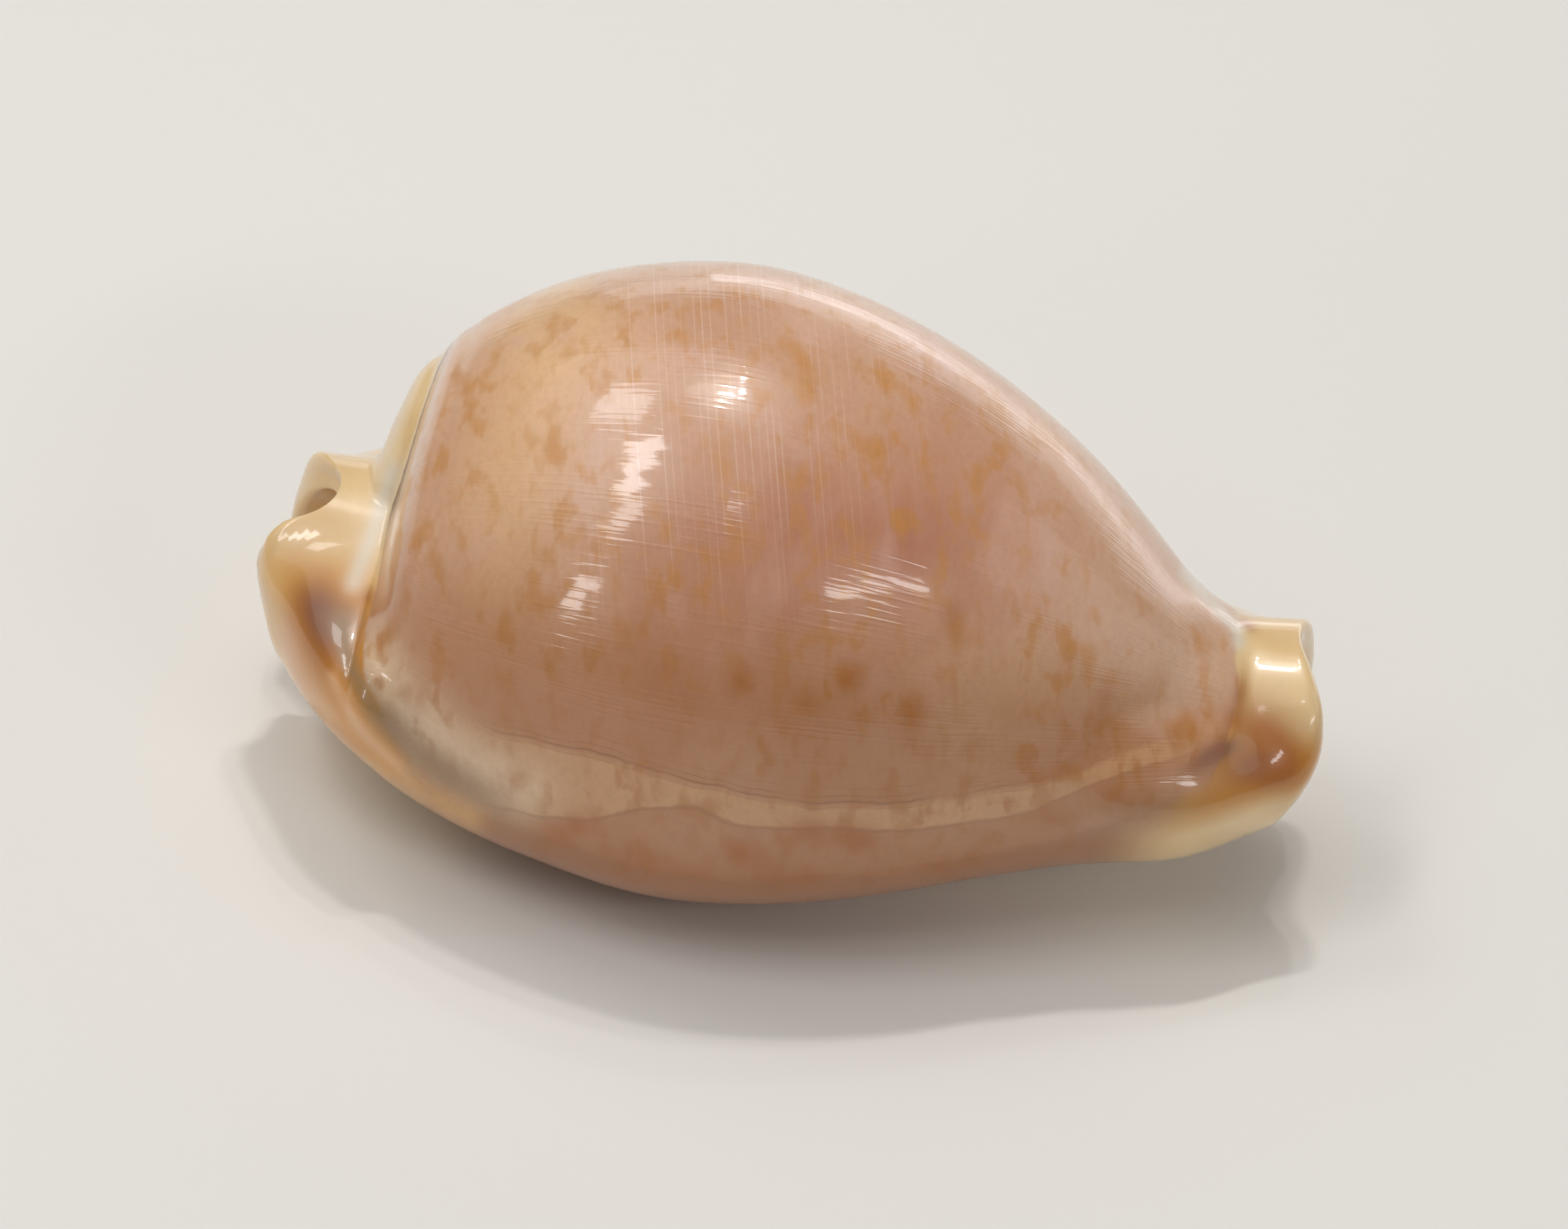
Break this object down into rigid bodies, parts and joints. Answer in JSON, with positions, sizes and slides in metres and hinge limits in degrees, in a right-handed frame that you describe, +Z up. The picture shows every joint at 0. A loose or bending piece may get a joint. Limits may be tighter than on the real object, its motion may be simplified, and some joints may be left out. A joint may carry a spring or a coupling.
{
  "type": "cowry shell",
  "caption": "Glossy egg-shaped cowry shell, Nesiocypraea teramachii polyphemus: domed mauve-beige back, cream beaked ends, and a long toothed slit in the base.",
  "frame": {"origin": "under the middle of the shell's box, on the surface that it rests on", "axes": "+X along the canal line to the anterior end, +Y to the columella side, -Y to the outer lip, +Z up through the back"},
  "size_m": [0.0682, 0.0416, 0.0349],
  "materials": {
    "shell_glaze": "glossy natural enamel, mauve beige with orange-brown mottling, cream at the ends"
  },
  "bodies": {
    "root": {"shell": "shell_glaze"}
  },
  "joints": []
}
